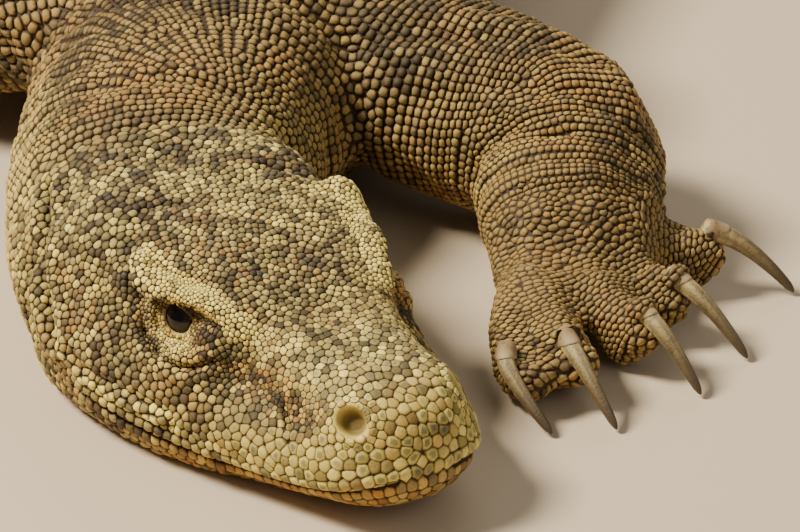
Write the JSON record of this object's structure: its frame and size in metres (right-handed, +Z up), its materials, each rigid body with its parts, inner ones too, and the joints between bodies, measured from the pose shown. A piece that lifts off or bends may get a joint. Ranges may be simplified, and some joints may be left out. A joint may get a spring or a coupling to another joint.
{
  "type": "komodo dragon",
  "caption": "Life-size komodo dragon lying at rest, chin on the floor, head turned aside and one forefoot spread forward.",
  "frame": {"origin": "middle of the bounding box on the floor under the animal", "axes": "+Z up, snout towards -Y, tail towards +Y, the animal's left towards +X"},
  "size_m": [0.8638, 2.258, 0.1692],
  "materials": {
    "scaly_hide": "dry pebbled scales, matt",
    "claw_horn": "worn horn, half gloss",
    "eyeball": "wet gloss"
  },
  "bodies": {
    "root": {"belly": "scaly_hide", "chest": "scaly_hide", "head": "scaly_hide", "left_eye": "eyeball", "left_fore_claw_1": "claw_horn", "left_fore_claw_2": "claw_horn", "left_fore_claw_3": "claw_horn", "left_fore_claw_4": "claw_horn", "left_fore_claw_5": "claw_horn", "left_fore_foot": "scaly_hide", "left_fore_lower": "scaly_hide", "left_fore_upper": "scaly_hide", "left_hind_claw_1": "claw_horn", "left_hind_claw_2": "claw_horn", "left_hind_claw_3": "claw_horn", "left_hind_claw_4": "claw_horn", "left_hind_claw_5": "claw_horn", "left_hind_foot": "scaly_hide", "left_hind_lower": "scaly_hide", "left_hind_upper": "scaly_hide", "lower_jaw": "scaly_hide", "neck": "scaly_hide", "pelvis": "scaly_hide", "right_eye": "eyeball", "right_fore_claw_1": "claw_horn", "right_fore_claw_2": "claw_horn", "right_fore_claw_3": "claw_horn", "right_fore_claw_4": "claw_horn", "right_fore_claw_5": "claw_horn", "right_fore_foot": "scaly_hide", "right_fore_lower": "scaly_hide", "right_fore_upper": "scaly_hide", "right_hind_claw_1": "claw_horn", "right_hind_claw_2": "claw_horn", "right_hind_claw_3": "claw_horn", "right_hind_claw_4": "claw_horn", "right_hind_claw_5": "claw_horn", "right_hind_foot": "scaly_hide", "right_hind_lower": "scaly_hide", "right_hind_upper": "scaly_hide", "tail_1": "scaly_hide", "tail_2": "scaly_hide", "tail_3": "scaly_hide", "tail_4": "scaly_hide", "tail_5": "scaly_hide"}
  },
  "joints": []
}
